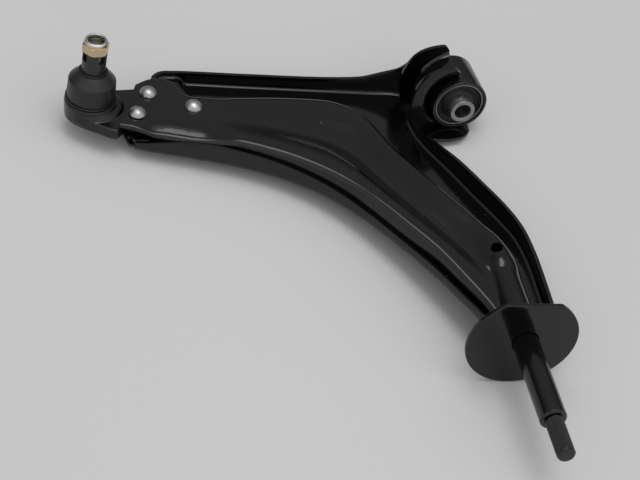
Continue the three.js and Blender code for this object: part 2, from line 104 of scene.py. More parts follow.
def make_camera():
    forward = Vector((math.sin(CAMERA_YAW) * math.cos(CAMERA_PITCH),
                      math.cos(CAMERA_YAW) * math.cos(CAMERA_PITCH), -math.sin(CAMERA_PITCH)))
    level = Vector((math.cos(CAMERA_YAW), -math.sin(CAMERA_YAW), 0))
    above = level.cross(forward)
    right = level * math.cos(CAMERA_ROLL) + above * math.sin(CAMERA_ROLL)
    up = above * math.cos(CAMERA_ROLL) - level * math.sin(CAMERA_ROLL)
    data = bpy.data.cameras.new("camera")
    data.lens = LENS
    data.sensor_width = 36
    data.clip_end = 50
    camera = bpy.data.objects.new("camera", data)
    turn = Matrix((right, up, -forward)).transposed().to_4x4()
    camera.matrix_world = Matrix.Translation(at(*CAMERA_PLACE)) @ turn
    bpy.context.scene.collection.objects.link(camera)
    bpy.context.scene.camera = camera


make_camera()


# ---- materials ----
def fill_ramp(ramp, stops):
    while len(ramp.elements) < len(stops):
        ramp.elements.new(1.0)
    for element, (position, colour) in zip(ramp.elements, stops):
        element.position = position
        element.color = (*colour, 1)


class Finish:
    """One procedural material on Object coordinates."""

    def __init__(self, name, roughness, metallic=0.0, **sockets):
        self.material = bpy.data.materials.new(name)
        self.material.use_nodes = True
        self.tree = self.material.node_tree
        self.shader = self.tree.nodes["Principled BSDF"]
        self.shader.inputs["Roughness"].default_value = roughness
        self.shader.inputs["Metallic"].default_value = metallic
        for socket, value in sockets.items():
            self.shader.inputs[socket.replace("_", " ")].default_value = value
        self.place = self.node("ShaderNodeTexCoord").outputs["Object"]

    def node(self, kind, **settings):
        made = self.tree.nodes.new(kind)
        for key, value in settings.items():
            setattr(made, key, value)
        return made

    def link(self, source, target):
        self.tree.links.new(source, target)

    def mapped(self, centre=(0, 0, 0), turn=(0, 0, 0), scale=(1, 1, 1)):
        mapping = self.node("ShaderNodeMapping", vector_type="TEXTURE")
        mapping.inputs["Location"].default_value = centre
        mapping.inputs["Rotation"].default_value = turn
        mapping.inputs["Scale"].default_value = scale
        self.link(self.place, mapping.inputs["Vector"])
        return mapping.outputs["Vector"]

    def noise(self, scale, detail=3.0, rough=0.5, place=None):
        made = self.node("ShaderNodeTexNoise")
        made.inputs["Scale"].default_value = scale
        made.inputs["Detail"].default_value = detail
        made.inputs["Roughness"].default_value = rough
        self.link(place or self.place, made.inputs["Vector"])
        return made.outputs["Fac"]

    def span(self, value, low, high, to_low, to_high):
        made = self.node("ShaderNodeMapRange")
        limits = {"From Min": low, "From Max": high, "To Min": to_low, "To Max": to_high}
        for socket, number in limits.items():
            made.inputs[socket].default_value = number
        self.link(value, made.inputs["Value"])
        return made.outputs["Result"]

    def math(self, operation, first, second=None):
        made = self.node("ShaderNodeMath", operation=operation)
        for socket, value in zip(made.inputs, (first, second)):
            if isinstance(value, (int, float)):
                socket.default_value = value
            elif value is not None:
                self.link(value, socket)
        return made.outputs[0]

    def colours(self, value, stops):
        made = self.node("ShaderNodeValToRGB")
        fill_ramp(made.color_ramp, stops)
        self.link(value, made.inputs["Fac"])
        return made.outputs["Color"]

    def mix(self, share, first, second):
        made = self.node("ShaderNodeMix", data_type="RGBA")
        for socket, value in zip((made.inputs[6], made.inputs[7]), (first, second)):
            if isinstance(value, tuple):
                socket.default_value = (*value, 1)
            else:
                self.link(value, socket)
        self.link(share, made.inputs[0])
        return made.outputs[2]

    def bump(self, height, strength, distance):
        made = self.node("ShaderNodeBump")
        made.inputs["Strength"].default_value = strength
        made.inputs["Distance"].default_value = distance
        self.link(height, made.inputs["Height"])
        self.link(made.outputs["Normal"], self.shader.inputs["Normal"])

    def set(self, socket, value):
        self.link(value, self.shader.inputs[socket])


def black_paint(name, gloss, scuffs):
    """Electro-coat: deep black, a slight orange peel, dust in the film and a few scuffs."""
    paint = Finish(name, gloss, IOR=1.5)
    cloud = paint.noise(14, 4)
    dust = paint.span(paint.noise(1400, 2), 0.66, 0.74, 0, 1)
    shade = paint.colours(cloud, [(0.3, (0.0010, 0.0010, 0.0010)),
                                  (0.75, (0.0024, 0.0024, 0.0022))])
    long_way = paint.mapped(turn=(0, 0, math.radians(-42)), scale=(6, 1, 1))
    scratch = paint.span(paint.noise(900, 2, place=long_way), 0.735, 0.76, 0, 1)
    patch = paint.span(paint.noise(38, 2), 0.56, 0.66, 0, scuffs)
    worn = paint.math("MULTIPLY", scratch, patch)
    dusty = paint.math("MULTIPLY", dust, 0.08)
    marks = paint.math("MAXIMUM", worn, dusty)
    paint.set("Base Color", paint.mix(marks, shade, (0.16, 0.16, 0.155)))
    paint.set("Roughness", paint.math("ADD", paint.span(cloud, 0.3, 0.7, gloss * 0.8, gloss * 1.25),
                                      paint.math("MULTIPLY", marks, 0.4)))
    peel = paint.math("ADD", paint.noise(260, 2), paint.math("MULTIPLY", paint.noise(900, 1), 0.25))
    paint.bump(peel, 0.12, 0.0004)
    return paint.material


def bare_metal(name, colour, roughness, axis_place=None, rings=0.0):
    """Bare or plated steel with fine turning marks round its axis."""
    metal = Finish(name, roughness, 1.0)
    cloud = metal.noise(160, 4)
    darker = tuple(part * 0.72 for part in colour)
    metal.set("Base Color", metal.colours(cloud, [(0.3, darker), (0.7, colour)]))
    metal.set("Roughness", metal.span(metal.noise(420, 3), 0.3, 0.7,
                                      roughness * 0.75, roughness * 1.3))
    if axis_place is None:
        metal.bump(metal.noise(900, 3), 0.15, 0.0003)
    else:
        wave = metal.node("ShaderNodeTexWave", wave_type="RINGS", rings_direction="Y")
        wave.inputs["Scale"].default_value = rings
        wave.inputs["Distortion"].default_value = 0.6
        metal.link(metal.mapped(*axis_place), wave.inputs["Vector"])
        metal.bump(wave.outputs["Fac"], 0.12, 0.0002)
    return metal.material


def rubber(name, roughness, shade):
    """Moulded rubber: near black, satin, with a fine grain and a grey bloom."""
    soft = Finish(name, roughness, IOR=1.5)
    bloom = soft.noise(60, 4)
    pale = tuple(part * 2.2 for part in shade)
    soft.set("Base Color", soft.colours(bloom, [(0.35, shade), (0.8, pale)]))
    soft.set("Roughness", soft.span(bloom, 0.3, 0.7, roughness * 0.88, roughness * 1.15))
    soft.bump(soft.noise(1800, 2), 0.25, 0.0002)
    return soft.material


def yellow_zinc():
    """Yellow passivated zinc: gold with faint pink and green clouds, and a silvery upper rim whose
    paler colour, painted by height, is partly a painted highlight.
    """
    zinc = Finish("yellow_zinc", 0.3, 1.0)
    cloud = zinc.noise(110, 2)
    gold = zinc.colours(cloud, [(0.28, (0.60, 0.44, 0.29)), (0.45, (0.62, 0.49, 0.30)),
                                (0.58, (0.55, 0.50, 0.33)), (0.75, (0.68, 0.52, 0.40))])
    height = zinc.node("ShaderNodeSeparateXYZ")
    zinc.link(zinc.place, height.inputs[0])
    # The collar's top is painted paler and silvery by height: partly its silvery colour, partly a
    # painted highlight.
    silvery_top_highlight = zinc.span(height.outputs[2], at(0, 0, 67).z, at(0, 0, 68.8).z, 0, 0.85)
    zinc.set("Base Color", zinc.mix(silvery_top_highlight, gold, (0.70, 0.70, 0.67)))
    zinc.set("Roughness", zinc.span(zinc.noise(500, 3), 0.3, 0.7, 0.2, 0.34))
    zinc.bump(zinc.noise(700, 3), 0.12, 0.0003)
    return zinc.material


def plastic(name, colours, roughness):
    """Moulded plastic with flow clouds and a very fine grain."""
    moulded = Finish(name, roughness, IOR=1.5)
    flow = moulded.noise(120, 3)
    moulded.set("Base Color", moulded.colours(flow, [(0.3, colours[0]), (0.7, colours[1])]))
    moulded.set("Roughness", moulded.span(flow, 0.3, 0.7, roughness * 0.85, roughness * 1.2))
    moulded.bump(moulded.noise(1500, 2), 0.12, 0.0002)
    return moulded.material


bush_middle = on_bush(0, 0, TUBE_LENGTH / 2)
SHELL_PAINT = black_paint("shell_paint", 0.11, 1.0)
FORGING_PAINT = black_paint("forging_paint", 0.2, 0.4)
TUBE_PAINT = black_paint("tube_paint", 0.22, 0.2)
PIN_PAINT = black_paint("pin_paint", 0.16, 0.3)
WASHER_COAT = black_paint("washer_coat", 0.09, 0.3)
RIVET_STEEL = bare_metal("rivet_steel", (0.50, 0.50, 0.49), 0.36)
PLAIN_STEEL = bare_metal("plain_steel", (0.32, 0.32, 0.32), 0.38)
SLEEVE_STEEL = bare_metal("bush_sleeve_steel", (0.36, 0.36, 0.35), 0.42,
                          (tuple(bush_middle), (0, 0, BUSH_TURN)), 900)
ZINC = yellow_zinc()
BOOT_RUBBER = rubber("boot_rubber", 0.40, (0.005, 0.0053, 0.0055))
BUSH_RUBBER = rubber("bush_rubber", 0.62, (0.006, 0.0062, 0.006))
SLEEVE_PLASTIC = plastic("sleeve_plastic", [(0.010, 0.0105, 0.011), (0.018, 0.0185, 0.019)], 0.3)
NYLON = plastic("nylon", [(0.05, 0.075, 0.095), (0.09, 0.12, 0.14)], 0.4)


# ---- mesh making ----
def settle(obj):
    """Turns the object's modifiers into plain mesh."""
    bpy.context.view_layer.update()
    ready = obj.evaluated_get(bpy.context.evaluated_depsgraph_get())
    mesh = bpy.data.meshes.new_from_object(ready)
    obj.modifiers.clear()
    obj.data = mesh


def raw_object(name, bm):
    mesh = bpy.data.meshes.new(name)
    bm.to_mesh(mesh)
    bm.free()
    obj = bpy.data.objects.new(name, mesh)
    bpy.context.scene.collection.objects.link(obj)
    return obj


def finish_piece(obj, material, body, slot, *nodes, sharp=38):
    """Smooths and colours a finished mesh, parents it to its body's empty and hides the CAD nodes it
    stands for.
    """
    obj.data.materials.clear()
    obj.data.materials.append(material)
    obj.data.shade_smooth()
    obj.data.set_sharp_from_angle(angle=math.radians(sharp))
    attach(obj, body)
    if nodes:
        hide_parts(*nodes)
    return obj


def loft(loops, wrap=True, close=False):
    """Faces between rows of points.

    wrap joins the ends of each row, close joins the last row to the first.
    """
    bm = bmesh.new()
    rows = [[bm.verts.new(point) for point in loop] for loop in loops]
    pairs = list(zip(rows, rows[1:]))
    if close:
        pairs.append((rows[-1], rows[0]))
    for first, second in pairs:
        count = len(first)
        for i in range(count if wrap else count - 1):
            j = (i + 1) % count
            bm.faces.new((first[i], first[j], second[j], second[i]))
    bmesh.ops.remove_doubles(bm, verts=bm.verts, dist=1e-7)
    bmesh.ops.recalc_face_normals(bm, faces=bm.faces)
    return bm


def rounded(profile, radius, closed=True, steps=4):
    """A polyline with each corner turned into a short arc.

    A third number on a point is its own radius.
    """
    points = []
    count = len(profile)
    for i, corner in enumerate(profile):
        here = Vector(corner[:2])
        if not closed and i in (0, count - 1):
            points.append(here)
            continue
        before, after = Vector(profile[i - 1][:2]), Vector(profile[(i + 1) % count][:2])
        to_before, to_after = before - here, after - here
        size = corner[2] if len(corner) > 2 else radius
        bend = math.pi - to_before.angle(to_after, 0.0)
        if size <= 0 or bend < 0.05:
            points.append(here)
            continue
        reach = min(size * math.tan(bend / 2), to_before.length * 0.45, to_after.length * 0.45)
        start, end = here + to_before.normalized() * reach, here + to_after.normalized() * reach
        for step in range(steps + 1):
            t = step / steps
            points.append(start * (1 - t) ** 2 + here * 2 * t * (1 - t) + end * t ** 2)
    return points


def turned(profile, place, segments=64, radius=0.4, closed=True, steps=4):
    """A turned part from (radius, height) points; an open profile starts and ends on the axis."""
    loops = []
    for reach, height in rounded(profile, radius, closed, steps):
        loops.append([place(reach * math.cos(a), reach * math.sin(a), height)
                      for a in (math.tau * i / segments for i in range(segments))])
    return loft(loops, close=closed)


def hermite(t, start, start_slope, end, end_slope):
    return ((2 * t ** 3 - 3 * t ** 2 + 1) * start + (t ** 3 - 2 * t ** 2 + t) * start_slope
            + (3 * t ** 2 - 2 * t ** 3) * end + (t ** 3 - t ** 2) * end_slope)


def smooth_line(points, count):
    """A smooth line through unevenly spaced points, sampled in equal steps."""
    points = [Vector(point) for point in points]
    dense = []
    last = len(points) - 1
    for i in range(last):
        p0, p1, p2, p3 = (points[min(max(i + k, 0), last)] for k in (-1, 0, 1, 2))
        spans = ((p0, p1), (p1, p2), (p2, p3))
        d0, d1, d2 = (max((b - a).length, 1e-6) ** 0.5 for a, b in spans)
        m1 = (p2 - p1) - (p2 - p0) * (d1 / (d0 + d1)) + (p1 - p0) * (d1 / d0)
        m2 = (p2 - p1) - (p3 - p1) * (d1 / (d1 + d2)) + (p3 - p2) * (d1 / d2)
        for step in range(24):
            dense.append(hermite(step / 24, p1, m1, p2, m2))
    dense.append(points[-1])
    lengths = [0.0]
    for a, b in zip(dense, dense[1:]):
        lengths.append(lengths[-1] + (b - a).length)
    line, index = [], 0
    for step in range(count + 1):
        goal = lengths[-1] * step / count
        while index < len(lengths) - 2 and lengths[index + 1] < goal:
            index += 1
        share = (goal - lengths[index]) / max(lengths[index + 1] - lengths[index], 1e-9)
        line.append(dense[index].lerp(dense[index + 1], min(share, 1.0)))
    return line


def inset(outline, distance):
    """A closed outline moved inwards along its corner bisectors; it runs anticlockwise."""
    moved = []
    count = len(outline)
    for i in range(count):
        before, here, after = outline[i - 1], outline[i], outline[(i + 1) % count]
        along = ((here - before).normalized() + (after - here).normalized()).normalized()
        moved.append(here + Vector((-along.y, along.x)) * distance)
    return moved


def slab(outline, low, high, edge, steps=3):
    """A plate with rounded rims, lofted from insets of its outline and capped."""
    outline = [Vector(point[:2]) for point in outline]
    levels = []
    for step in range(steps + 1):
        angle = math.pi / 2 * step / steps
        levels.append((edge * (1 - math.sin(angle)), low + edge * (1 - math.cos(angle))))
    levels += [(back, low + high - level) for back, level in reversed(levels)]
    bm = loft([[at(point.x, point.y, level) for point in inset(outline, back)]
               for back, level in levels])
    bmesh.ops.holes_fill(bm, edges=[side for side in bm.edges if side.is_boundary])
    bmesh.ops.triangulate(bm, faces=[face for face in bm.faces if len(face.verts) > 4])
    bmesh.ops.recalc_face_normals(bm, faces=bm.faces)
    return bm


def join_meshes(name, *parts):
    """One object from several closed meshes."""
    whole = bmesh.new()
    for part in parts:
        mesh = bpy.data.meshes.new("part")
        part.to_mesh(mesh)
        part.free()
        whole.from_mesh(mesh)
        bpy.data.meshes.remove(mesh)
    return raw_object(name, whole)


def modify(obj, kind, **settings):
    modifier = obj.modifiers.new(kind.lower(), kind)
    for key, value in settings.items():
        setattr(modifier, key, value)


def carve(obj, tool_mesh, operation="DIFFERENCE"):
    """A boolean with a throwaway tool."""
    tool = raw_object("tool", tool_mesh)
    modify(obj, "BOOLEAN", object=tool, operation=operation, solver="EXACT")
    settle(obj)
    bpy.data.objects.remove(tool)


def thicken(obj, thickness, edge):
    """Gives a pressed sheet its thickness, inwards from its outer face, and rounds its cut edges."""
    modify(obj, "SOLIDIFY", thickness=thickness / 1000, offset=-1, use_even_offset=True)
    settle(obj)
    modify(obj, "BEVEL", width=edge / 1000, segments=2, limit_method="ANGLE",
           angle_limit=math.radians(58), use_clamp_overlap=True)
    settle(obj)


def smoothstep(low, high, value):
    t = min(max((value - low) / (high - low), 0.0), 1.0)
    return t * t * (3 - 2 * t)


# ---- the lower shell ----
# Outer faces of the flanges: x, y, height of the rim.
NEAR_FLANGE = (
    (-270, 219, -4), (-250, 214.5, 0), (-218, 208, 5), (-186, 200, 5.5), (-155, 188, 4),
    (-124, 169.5, 1.5), (-96, 142.5, -1), (-70, 108, -2.5), (-52, 80, -2.5), (-34, 47, -3),
    (-24, 27, -3), (-19, 14, -3), (-18, 5, -3),
)
RIGHT_FLANGE = (
    (20, 5, -2), (30, 14, -1), (34, 28, -1), (35, 50, 0), (35.5, 100, 1), (32, 124, 3),
    (24, 145, 5), (10, 175, 5.5), (-2, 202, 4.5), (-13, 225, 1.5), (-20, 241, -1.5),
    (-23.4, 252, -3.5), (-24.8, 260, -4.5), (-25.4, 268, -4.5), (-25.6, 272, -4.5),
)
FAR_FLANGE = (
    (-20, 303.5, 38), (-25, 305.5, 33), (-30, 309, 24.5), (-36, 311, 17), (-43, 312, 13.2),
    (-51, 312, 10.5), (-59, 312, 7.5), (-68, 312, 5), (-100, 312, 2.5), (-170, 312, 1.5),
    (-230, 312, 1), (-243, 310, 1), (-250, 303, 1), (-252, 294, 1),
)
# The floor's step: y and x.
STEP_LINE = ((208, -216), (222, -210), (240, -208), (262, -210), (285, -215), (300, -221),
             (312, -223))
FOOT_RADIUS = 6.0
SWEEP_HEIGHT, SWEEP_START, SWEEP_LENGTH = 4.0, -60, 42     # the floor's rise towards the saddle


def step_x(y):
    """Where the floor's step is at a y."""
    for (y0, x0), (y1, x1) in zip(STEP_LINE, STEP_LINE[1:]):
        if y <= y1:
            return x0 + (x1 - x0) * max(y - y0, 0) / (y1 - y0)
    return STEP_LINE[-1][1]


def near_line_y(x):
    """The near flange's outer face at an x."""
    for (x0, y0, _), (x1, y1, _) in zip(NEAR_FLANGE, NEAR_FLANGE[1:]):
        if x <= x1:
            return y0 + (y1 - y0) * (x - x0) / (x1 - x0)
    return NEAR_FLANGE[-1][1]


def floor_level(x, y):
    """Underside of the floor, with a step up at the ball joint and a sweep up to the saddle."""
    inside = smoothstep(7, 16, y - near_line_y(x))
    step = (RAISED_BOTTOM - FLOOR_BOTTOM) * smoothstep(-2, 7, step_x(y) - x) * inside
    along = min(max(x - SWEEP_START, 0), SWEEP_LENGTH) / SWEEP_LENGTH
    sweep = SWEEP_HEIGHT * along ** 2 * smoothstep(280, 298, y)
    return FLOOR_BOTTOM + step + sweep


def flange(line):
    """Columns of points from the rim down the outer face and round the foot."""
    columns = []
    for i, point in enumerate(line):
        along = (line[min(i + 1, len(line) - 1)] - line[max(i - 1, 0)]).xy.normalized()
        inward = Vector((-along.y, along.x))
        foot = floor_level(point.x + inward.x * FOOT_RADIUS, point.y + inward.y * FOOT_RADIUS)
        bend = min(FOOT_RADIUS, max(point.z - foot, 0.4))
        column = [Vector(point)]
        for step in range(1, 4):
            column.append(Vector((point.x, point.y, point.z + (foot + bend - point.z) * step / 3)))
        for step in range(1, 9):
            angle = math.pi / 2 * step / 8
            out = inward * bend * (1 - math.cos(angle))
            column.append(Vector((point.x + out.x, point.y + out.y,
                                  foot + bend * (1 - math.sin(angle)))))
        columns.append(column)
    return columns


# Where the floor has no flange: under the tube and at the ball joint's end.
UNDER_TUBE = ((-19, 277), (-18, 285), (-18, 292), (-18.5, 296))
LEFT_END = ((-268, 281), (-276, 262), (-279, 241), (-274, 227))
FLOOR_GRID, STEP_GRID = 3.6, 1.1


def pan_sheet():
    """The floor and its three flanges as one sheet, without thickness."""
    near = flange(smooth_line(NEAR_FLANGE, 150))
    right = flange(smooth_line(RIGHT_FLANGE, 170))
    far = flange(smooth_line(FAR_FLANGE, 130))
    border = [column[-1].xy for column in near + right] + [Vector(point) for point in UNDER_TUBE]
    border += [column[-1].xy for column in far] + [Vector(point) for point in LEFT_END]
    grid = []
    low_x, high_x = min(p.x for p in border), max(p.x for p in border)
    low_y, high_y = min(p.y for p in border), max(p.y for p in border)
    y = low_y
    while y < high_y:
        x = low_x
        while x < high_x:
            close_to_step = -4 < step_x(y) - x < 9
            grid.append(Vector((x, y)))
            x += STEP_GRID if close_to_step else FLOOR_GRID
        y += FLOOR_GRID
    keep = [point for point in grid if is_inside(point, border) and clear_of(point, border, 1.4)]
    filled = delaunay_2d_cdt(border + keep, [], [list(range(len(border)))], 1, 1e-4)
    points, faces = filled[0], filled[2]
    bm = bmesh.new()
    verts = [bm.verts.new(at(p.x, p.y, floor_level(p.x, p.y))) for p in points]
    for face in faces:
        bm.faces.new([verts[i] for i in face])
    for columns in (near, right, far):
        rows = [[bm.verts.new(at(*point)) for point in column] for column in columns]
        for first, second in zip(rows, rows[1:]):
            for i in range(len(first) - 1):
                bm.faces.new((first[i], second[i], second[i + 1], first[i + 1]))
    bmesh.ops.remove_doubles(bm, verts=bm.verts, dist=2e-5)
    bmesh.ops.recalc_face_normals(bm, faces=bm.faces)
    lowest = min(bm.faces, key=lambda face: face.calc_center_median().z)
    if lowest.normal.z > 0:
        bmesh.ops.reverse_faces(bm, faces=bm.faces)
    return bm


def is_inside(point, border):
    inside = False
    previous = border[-1]
    for here in border:
        if (here.y > point.y) != (previous.y > point.y):
            cross = (previous.x - here.x) * (point.y - here.y) / (previous.y - here.y) + here.x
            inside ^= point.x < cross
        previous = here
    return inside


def clear_of(point, border, distance):
    return all(max(abs(here.x - point.x), abs(here.y - point.y)) > distance for here in border)


EAR_START, EAR_END = 100, 262       # degrees round the tube
EAR_FLAT = 26.8                     # how far the ears reach below the tube's axis
NEAR_EAR, FAR_EAR = 7.5, 39.5       # along the tube
NEAR_EAR_RADII, FAR_EAR_RADII = (34.5, 41.8), (37, 43.5)    # at the top and at the widest
EAR_BEND = 7.0


def ear_reach(degrees, top, widest):
    """Radius of an ear's free edge at an angle round the tube."""
    reach = top + (widest - top) * smoothstep(0, 0.38, (degrees - EAR_START) / 128)
    reach -= 5 * (1 - min((degrees - EAR_START) / 7, 1.0)) ** 2
    if degrees > 180:
        reach = min(reach, EAR_FLAT / abs(math.sin(math.radians(degrees))))
    return reach


def saddle_sheet():
    """The two ears and the web between them that hugs the tube, as one sheet."""
    inner = TUBE_RADIUS + 0.3
    loops = []
    for i in range(91):
        degrees = EAR_START + (EAR_END - EAR_START) * i / 90
        column = []
        for face, way, radii in ((NEAR_EAR, 1, NEAR_EAR_RADII), (FAR_EAR, -1, FAR_EAR_RADII)):
            reach = ear_reach(degrees, *radii)
            curve = min(EAR_BEND, max(reach - inner, 0.5))
            side = [(reach + (inner + curve - reach) * step / 5, face) for step in range(6)]
            for step in range(1, 8):
                angle = math.pi / 2 * step / 7
                side.append((inner + curve * (1 - math.sin(angle)),
                             face + way * curve * (1 - math.cos(angle))))
            column += side if way == 1 else side[::-1]
            if way == 1:
                gap = FAR_EAR - NEAR_EAR - 2 * EAR_BEND
                column += [(inner, face + curve + gap * k / 6) for k in range(1, 6)]
        angle = math.radians(degrees)
        loops.append([on_bush(r * math.cos(angle), -r * math.sin(angle), along)
                      for r, along in column])
    bm = loft(loops, wrap=False)
    middle = on_bush(0, 0, 23.5)
    web = min(bm.faces, key=lambda face: (face.calc_center_median() - middle).length)
    if web.normal.dot(middle - web.calc_center_median()) < 0:
        bmesh.ops.reverse_faces(bm, faces=bm.faces)
    return bm


def lower_shell():
    pan = raw_object("pan", pan_sheet())
    thicken(pan, SHEET, 0.7)
    saddle = raw_object("saddle", saddle_sheet())
    thicken(saddle, SHEET, 0.7)
    tongue = slab(((-28, 250), (-12, 247), (4, 248), (15, 251.5), (21, 256), (25, 262), (25.5, 269),
                   (25, 296), (22, 303), (-14, 303), (-17, 296), (-17, 279), (-26, 272)),
                  FLOOR_BOTTOM, FLOOR_BOTTOM + SHEET, 0.8)
    parts = [tongue]
    for obj in (pan, saddle):
        bm = bmesh.new()
        bm.from_mesh(obj.data)
        bpy.data.objects.remove(obj)
        parts.append(bm)
    shell = join_meshes("lower_shell_pressing", *parts)
    finish_piece(shell, SHELL_PAINT, "arm", "black_paint", "lower_shell")


lower_shell()

# ---- the upper shell ----
# From the ball joint to the washer: near edge x and y, far edge x and y, heights of the near and
# the far top edge, depth of the trough, lower edges of the near and the far skirt.
STATIONS = (
    (-283, 225, -266, 280, 9.3, 9.3, 0, 6.3, 6.3),
    (-266, 221.6, -252, 289, 9.3, 9.3, 0, 4.6, 6.3),
    (-249, 218, -237, 288, 9.3, 9.3, 0, 0, 4),
    (-233, 214.6, -227, 274, 9.4, 9.4, 0, -1, -3),
    (-209, 209.9, -211, 269.8, 9.5, 9.5, 0, -3, -2.6),
    (-186, 203.8, -180, 270.5, 12.5, 12.5, 2, -3, -9.6),
    (-154, 191.5, -136, 272, 13, 13.4, 5, -4.5, -9.6),
    (-127, 176, -98, 269, 13, 13.4, 6.5, -7, -9.6),
    (-106, 158.5, -75, 249, 13, 13.4, 7.5, -9, -9.6),
    (-87, 136.6, -60, 213, 13, 13.6, 8, -9.6, -9.6),
    (-68, 111, -35, 170, 12, 14.2, 8, -9.6, -9.6),
    (-50, 86, -8, 125, 10.5, 14.6, 7, -9.6, -9.6),
    (-35.2, 59.5, 12, 84, 8, 13.6, 3.5, -9.6, -9.6),
    (-22, 35, 13.6, 50, 5, 9, 0, -9.6, -9.6),
    (-14.8, 15, 13.6, 22, 3, 8, 0, -9.6, -9.6),
    (-14.2, 3.5, 13.6, 4, 2, 8, 0, -9.6, -9.6),
)
NEAR_BEND, FAR_BEND = 4.6, 11.0
TROUGH_PLACE = 0.50     # share of the width, from the near edge
SHOULDER_WIDTH, SHOULDER_DROP = 18.0, 3.8
PAD_HEIGHT = 3.0
RIDGE_RADIUS = PIN_RADIUS + 0.3 + SHEET
ALONG, ACROSS = 210, 44     # steps of the shell's mesh


def station(share):
    """The row of STATIONS at a share of the way along the shell, smoothly between the given ones."""
    place = share * (len(STATIONS) - 1)
    index = min(int(place), len(STATIONS) - 2)
    rows = [STATIONS[min(max(index + k, 0), len(STATIONS) - 1)] for k in (-1, 0, 1, 2)]
    return [hermite(place - index, q, (r - p) / 2, r, (s - q) / 2) for p, q, r, s in zip(*rows)]


def trough(share):
    """Depth of the pressed trough across the shell, 0 to 1, steeper on its near side."""
    if share < TROUGH_PLACE:
        return smoothstep(0.22, 1.0, share / TROUGH_PLACE)
    return 0.5 + 0.5 * math.cos(math.pi * (share - TROUGH_PLACE) / (1 - TROUGH_PLACE))


def shoulder(x):
    """How far the top slopes down towards its near edge, beside the rivets."""
    return SHOULDER_DROP * smoothstep(-274, -254, x) * (1 - smoothstep(-228, -185, x))


def over_pin(x, y, level):
    """The shell's level where it rises over the pin, blended into the level given."""
    if abs(x) >= RIDGE_RADIUS or y > 92:
        return level
    crest = math.sqrt(RIDGE_RADIUS ** 2 - x * x) - 14 * smoothstep(76, 92, y)
    soft = max(0.0, 1.6 - abs(level - crest)) / 1.6
    return max(level, crest) + soft * soft * 0.4


def hole_pad(x, y):
    """The raised ground round the hole, which drops steeply to the tunnel."""
    return (PAD_HEIGHT * math.exp(-((x - HOLE_X) / 10) ** 2) * smoothstep(64, 74, y)
            * (1 - smoothstep(88, 120, y)))


def hat_sheet():
    """The hat section's outer face as one sheet, from its near skirt over the top to the far one."""
    loops = []
    for row in range(ALONG + 1):
        (near_x, near_y, far_x, far_y, near_top, far_top, depth,
         near_skirt, far_skirt) = station(row / ALONG)
        width = math.hypot(far_x - near_x, far_y - near_y)
        slope = shoulder(near_x)
        near_bend = min(NEAR_BEND, (near_top - slope - near_skirt) * 0.7)
        far_bend = min(FAR_BEND, (far_top - far_skirt) * 0.6, width * 0.3)
        rim = near_top - slope
        column = [(0, near_skirt + (rim - near_bend - near_skirt) * k / 3) for k in range(3)]
        for step in range(9):
            angle = math.pi / 2 * step / 8
            column.append((near_bend * (1 - math.cos(angle)),
                           rim - near_bend * (1 - math.sin(angle))))
        for step in range(1, ACROSS):
            share = step / ACROSS
            across = near_bend + (width - near_bend - far_bend) * share
            drop = slope * max(1 - (across - near_bend) / SHOULDER_WIDTH, 0) ** 2
            level = near_top + (far_top - near_top) * share
            column.append((across, level - depth * trough(share) - drop))
        for step in range(8, -1, -1):
            angle = math.pi / 2 * step / 8
            column.append((width - far_bend * (1 - math.cos(angle)),
                           far_top - far_bend * (1 - math.sin(angle))))
        column += [(width, far_skirt + (far_top - far_bend - far_skirt) * k / 3)
                   for k in (2, 1, 0)]
        points = []
        for i, (across, level) in enumerate(column):
            x = near_x + (far_x - near_x) * across / width
            y = near_y + (far_y - near_y) * across / width
            if 3 <= i < len(column) - 3:
                level = over_pin(x, y, level) + hole_pad(x, y)
            points.append(at(x, y, level))
        loops.append(points)
    bm = loft(loops, wrap=False)
    top = max(bm.faces, key=lambda face: face.calc_center_median().z)
    if top.normal.z < 0:
        bmesh.ops.reverse_faces(bm, faces=bm.faces)
    return bm


def upper_shell():
    shell = raw_object("upper_shell_pressing", hat_sheet())
    thicken(shell, SHEET, 0.6)
    carve(shell, turned(((0, -5), (HOLE_RADIUS, -5), (HOLE_RADIUS, 30), (0, 30)),
                        lambda x, y, z: at(x + HOLE_X, y + HOLE_Y, z), 32, 0, closed=False))
    finish_piece(shell, SHELL_PAINT, "arm", "black_paint", "upper_shell")


upper_shell()

# ---- the ball joint ----
HOUSING_OUTLINE = (
    (-324.8, 253.9), (-323.5, 246), (-319, 239.5), (-312, 234), (-300, 227.5), (-285, 221),
    (-281, 225.5), (-275, 229.5), (-262, 230.5), (-240, 234), (-218, 238), (-210, 246),
    (-210, 258), (-218, 266), (-238, 272), (-252, 282), (-262, 279), (-281, 275.5),
    (-300, 273.3), (-311, 272.8), (-318.5, 268.4), (-323.5, 261.5),
)
PLATE_BOTTOM, PLATE_TOP = -3.5, 6.0
NUT_BOTTOM, NUT_SHOULDER, NUT_TOP = 59.0, 66.6, 69.8
NUT_FLATS, NUT_TURN = 18.8, math.radians(12)
SLOT_ANGLES, SLOT_WIDTH, SLOT_DEPTH = (28, 122), 5.6, 7.5      # in the sleeve's upper end


